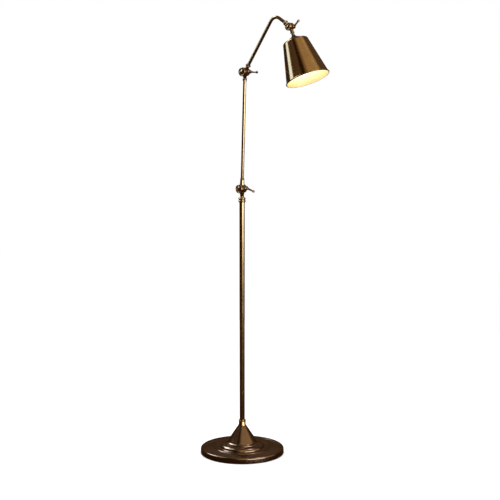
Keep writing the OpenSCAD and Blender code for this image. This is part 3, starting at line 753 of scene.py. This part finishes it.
def shade_wall(t):
    slope = math.degrees(math.atan((RIM_R - SHOULDER_R) / SHADE_LEN))
    centre = (SHOULDER_R - SHOULDER_ROUND, SHADE_TOP + CROWN_FALL + SHOULDER_ROUND)
    lean = math.degrees(math.atan(CROWN_FALL / (centre[0] - CAP_R - 1)))
    return ([(SHADE_HOLE_R, SHADE_TOP + t), (CAP_R + 1, SHADE_TOP + t)]
            + arc(centre, SHOULDER_ROUND - t, lean - 90, -slope, 16))


rim = arc((RIM_R + 0.6, SHADE_TOP + SHADE_LEN - RIM_BEAD), RIM_BEAD, -100, 150, 28)
shade_outline = shade_wall(0) + rim + shade_wall(SHADE_T)[::-1]
shade = turned("shade_spun", shade_outline, in_head, shade_brass, steps=180)
shade.data.materials.append(enamel)
axis_foot = in_head.to_translation()
axis_way = (in_head.to_3x3() @ Vector((0, 0, 1))).normalized()
for face in shade.data.polygons:
    out = face.center - axis_foot
    out -= axis_way * out.dot(axis_way)
    under_crown = face.normal.dot(axis_way) > 0.9 and out.length < 0.045
    inside = face.normal.dot(out) < 0 or under_crown
    face.material_index = int(inside and out.length < (RIM_R - 0.6) * MM)
keep(shade, "head", "shade_brass", "shade", sharp=50)

# %% [markdown]
# ## The lampholder and the lamp
# Under the shade's top sit a cap and a sleeve of the lampholder. The lamp itself is a lit globe on
# a screw cap, and the lamp's light on the shade's enamel is painted in as a glow that is strongest
# close to the lamp.

# %% Lampholder and globe
HOLDER, HOLDER_R, HOLDER_BORE_R = 55.7, 19, 17.5
HOLDER_CAP_LEN, NIPPLE_HOLE_R = 12, 4.05
MOUTH = HOLDER + 46
holder_cap = [(NIPPLE_HOLE_R, HOLDER), (9, HOLDER), (14, HOLDER + 2.6), (17.6, HOLDER + 5.6),
              (HOLDER_R, HOLDER + 8), (HOLDER_R, HOLDER + HOLDER_CAP_LEN),
              (17.8, HOLDER + HOLDER_CAP_LEN), (9, HOLDER + 3), (NIPPLE_HOLE_R, HOLDER + 3)]
keep(turned("holder_cap_spun", holder_cap, in_head, cap_bronze),
     "head", "base_bronze", "holder_cap")
sleeve_top = HOLDER + HOLDER_CAP_LEN + SEAT_GAP
sleeve = ([(HOLDER_R, sleeve_top), (HOLDER_R, MOUTH - 2.9)]
          + arc((HOLDER_R, MOUTH - 1.5), 1.5, -70, 90, 10)
          + [(HOLDER_BORE_R, MOUTH), (HOLDER_BORE_R, sleeve_top)])
keep(turned("holder_sleeve_spun", sleeve, in_head, cap_bronze),
     "head", "base_bronze", "holder_body")
GLOBE_R, GLOBE_AT, GLASS_T = 30, MOUTH + 48, 1


def globe(t):
    return [(13.6 - t, MOUTH + 1.1)] + arc((0, GLOBE_AT), GLOBE_R - t, -42, 90, 30)


keep(turned("lamp_globe", globe(0) + globe(GLASS_T)[::-1], in_head, lamp_glow),
     "head", "lamp_glass", "bulb_glass")

# %% [markdown]
# ## Pieces kept from the model
# The parts that are hidden inside, and the small washers, discs and screws, already have the right
# shape in the model. They only need their finishes.

# %% Finishes on kept pieces
KEPT = {
    felt: ["felt_pad"],
    iron: ["base_weight"],
    nylon: ["terminal_block"],
    zinc: ["base_washer", "base_nut", "base_nipple", "neck_nipple", "shade_washer", "lock_nut",
           "bulb_cap", "centre_contact", "middle_screws", "upper_screws",
           "mid_washer", "elbow_washer", "head_washer"],
    rubber: ["stand_lead", "middle_lead", "upper_lead"],
    fibre: ["mid_friction_disc", "elbow_friction_disc", "head_friction_disc"],
    porcelain: ["holder_core"],
    cast_brass: ["screw_shell"],
}
for finish, names in KEPT.items():
    for name in names:
        node = frame["nodes"][name]
        node.data.materials.clear()
        node.data.materials.append(finish)
print("kept:", sum(len(names) for names in KEPT.values()), "made:", len(pieces))

# %% [markdown]
# ## Floor and light
# A plain pale disc is the floor, and one wide soft light hangs above it. The floor is a little
# brighter than its light makes it, so it runs into the white behind it.

# %% Floor
FLOOR_R, FLOOR_SIDES, FLOOR_GLOW = 2.6, 64, 0.22
floor_mesh = bpy.data.meshes.new("floor")
around = [2 * math.pi * i / FLOOR_SIDES for i in range(FLOOR_SIDES)]
rim_points = [(FLOOR_R * math.cos(a), FLOOR_R * math.sin(a), 0) for a in around]
floor_mesh.from_pydata(rim_points, [], [range(FLOOR_SIDES)])
floor = bpy.data.objects.new("floor", floor_mesh)
scene.collection.objects.link(floor)
floor_finish = Finish("floor_paint", base_color=(0.9, 0.9, 0.9), roughness=0.9,
                      emission_color=(1, 1, 1), emission_strength=FLOOR_GLOW)
floor_mesh.materials.append(floor_finish.material)
floor.visible_glossy = False


# %% Soft lights
LAMP_MIDDLE = Vector((0, 0, 1))


def soft_light(name, azimuth, distance, height, size, power, colour, mirrored=True):
    """A panel that looks at the lamp. Azimuth 0 is the camera's side, positive to its right."""
    data = bpy.data.lights.new(name, "AREA")
    data.shape, data.energy, data.color = "RECTANGLE", power, colour
    data.size, data.size_y = size
    panel = bpy.data.objects.new(name, data)
    round_to = math.radians(CAMERA_AZIMUTH + azimuth)
    panel.location = (distance * math.sin(round_to), -distance * math.cos(round_to), height)
    look = LAMP_MIDDLE - panel.location
    panel.rotation_euler = look.to_track_quat("-Z", "Y").to_euler()
    panel.visible_glossy = mirrored
    scene.collection.objects.link(panel)


soft_light("overhead", 0, 0.01, 3.2, (2.5, 2.5), 30, (1, 1, 1), mirrored=False)
soft_light("left_panel", -98, 1.35, 1.95, (0.6, 1.0), 8.0, (0.52, 0.76, 1.0))

# %% [markdown]
# ## What the metal mirrors
# Polished metal shows nothing but its surroundings, so the room matters as much as the finish. The
# room is a dim brown one with a few panels of light. A panel is given by the middle and the width
# of its azimuth and of its height, in degrees, and by how softly it ends. Azimuth 0 is the side of
# the lamp that faces the camera, and it grows to the right.

# %% The room
class Room(Finish):
    """The world round the lamp, built with the same node maker as a finish."""

    def __init__(self, name, colour):
        scene.world = bpy.data.worlds.new(name)
        scene.world.use_nodes = True
        self.tree = scene.world.node_tree
        self.tree.nodes.clear()
        way = self.node("TexCoord", {}, {}).outputs["Generated"]
        facing = math.radians(CAMERA_AZIMUTH)
        sine, cosine = math.sin(facing), math.cos(facing)
        ahead, right = (sine, -cosine, 0), (cosine, sine, 0)
        x, y, z = (self.along(way, axis) for axis in (right, ahead, (0, 0, 1)))
        degrees = 180 / math.pi
        self.azimuth = x.sum("ARCTAN2", x, y) * degrees
        self.height = z.sum("ARCSINE", z, 0) * degrees
        self.colour = colour

    def along(self, way, axis):
        made = self.node("VectorMath", {"operation": "DOT_PRODUCT"}, {0: way, 1: axis})
        return Value(self, made.outputs["Value"])

    def window(self, off, width, soft):
        off = off.sum("ABSOLUTE", off, 0)
        edges = {0: off, 1: (width - soft) / 2, 2: (width + soft) / 2, 3: 1, 4: 0}
        made = self.node("MapRange", {"interpolation_type": "SMOOTHSTEP"}, edges)
        return Value(self, made.outputs[0])

    def panel(self, azimuth, height, soft, colour):
        turned_off = {0: self.azimuth - azimuth[0], 1: 180, 2: -180}
        off = self.node("Math", {"operation": "WRAP"}, turned_off)
        across = self.window(Value(self, off.outputs[0]), azimuth[1], soft)
        upward = self.window(self.height - height[0], height[1], soft)
        self.colour = self.mix(across * upward, self.colour, colour)


room = Room("room", (0.06, 0.026, 0.008))
for azimuth, height, soft, colour in (
        ((0, 400), (60, 80), 24, (0.15, 0.1, 0.06)),
        ((0, 110), (60, 50), 24, (0.36, 0.26, 0.16)),
        ((44, 112), (32, 76), 18, (0.75, 0.6, 0.37)),
        ((-40, 26), (24, 64), 10, (0.025, 0.01, 0.004)),
        ((40, 50), (4, 23), 4, (5.2, 6, 7)),
        ((-124, 32), (43, 19), 6, (6, 7, 8)),
        ((96, 26), (68, 12), 5, (5, 5.2, 5.4))):
    room.panel(azimuth, height, soft, colour)

mirrored = room.node("Background", {}, {0: room.colour})
paper = room.node("Background", {}, {0: (1, 1, 1)})
ray = room.node("LightPath", {}, {})
shaders = {0: ray.outputs["Is Glossy Ray"], 1: paper.outputs[0], 2: mirrored.outputs[0]}
seen = room.node("MixShader", {}, shaders)
room.node("OutputWorld", {}, {0: seen.outputs[0]})
scene.view_settings.view_transform = "Standard"
